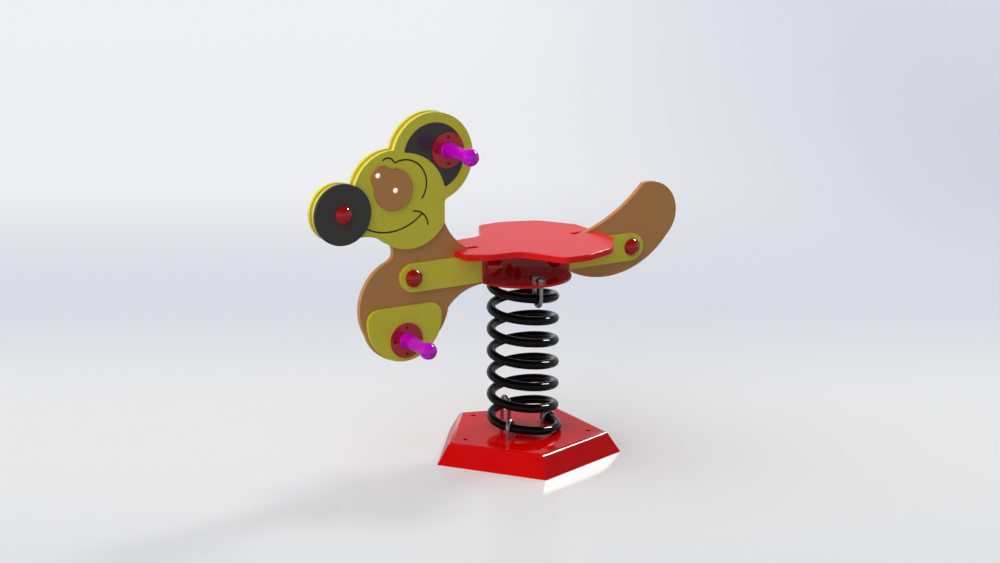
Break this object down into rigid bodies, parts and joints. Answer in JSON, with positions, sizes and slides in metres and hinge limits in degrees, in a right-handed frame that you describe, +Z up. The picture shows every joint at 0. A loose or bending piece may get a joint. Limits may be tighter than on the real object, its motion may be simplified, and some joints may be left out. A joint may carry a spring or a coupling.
{
  "type": "spring rider",
  "caption": "Playground spring rider: an animal-shaped board sandwich with seat, grips and foot pegs on a coil spring and a five-sided base.",
  "frame": {"origin": "on the ground, under the axis of the spring and the centre of the anchor holes", "axes": "+X to the animal's nose, +Y to the rider's left, +Z up"},
  "size_m": [1.03, 0.468, 0.8825],
  "materials": {
    "red_steel": "gloss powder coat",
    "black_steel": "gloss powder coat",
    "steel": "zinc plated",
    "yellow_board": "gloss",
    "brown_board": "gloss",
    "dark_board": "gloss",
    "red_board": "gloss",
    "red_plastic": "gloss",
    "violet_plastic": "translucent gloss"
  },
  "bodies": {
    "base": {"base_cover": "red_steel", "lower_u_bolts": "steel", "lower_nuts": "steel"},
    "coil": {"spring": "black_steel"},
    "rider": {"upper_u_bolts": "steel", "upper_nuts": "steel", "spring_disc": "red_steel", "bracket_left": "red_steel", "bracket_right": "red_steel", "bracket_bolts": "steel", "rail_bolts": "steel", "nose_bolt": "steel", "caps_left": "red_plastic", "caps_right": "red_plastic", "seat": "red_board", "seat_screws": "steel", "core_panel": "brown_board", "head_plate_left": "yellow_board", "head_plate_right": "yellow_board", "nose_disc": "dark_board", "ear_inlay_left": "dark_board", "ear_inlay_right": "dark_board", "eye_plate_left": "brown_board", "eye_plate_right": "brown_board", "foot_plate_left": "yellow_board", "foot_plate_right": "yellow_board", "side_rail_left": "yellow_board", "side_rail_right": "yellow_board", "hand_flange_left": "red_plastic", "hand_flange_right": "red_plastic", "foot_flange_left": "red_plastic", "foot_flange_right": "red_plastic", "hand_grip_left": "violet_plastic", "hand_grip_right": "violet_plastic", "foot_peg_left": "violet_plastic", "foot_peg_right": "violet_plastic", "hand_rod": "steel", "foot_rod": "steel", "flange_screws_left": "steel", "flange_screws_right": "steel"}
  },
  "joints": [
    {"name": "rock", "type": "hinge", "parent": "base", "child": "coil", "pos_m": [0, 0, 0.25], "axis": [0, 1, 0], "range_deg": [-20, 20], "stiffness_Nm_per_rad": 900, "deforming": ["spring"]},
    {"name": "sway", "type": "hinge", "parent": "coil", "child": "rider", "pos_m": [0, 0, 0.25], "axis": [1, 0, 0], "range_deg": [-15, 15], "stiffness_Nm_per_rad": 900, "deforming": ["spring"]}
  ]
}
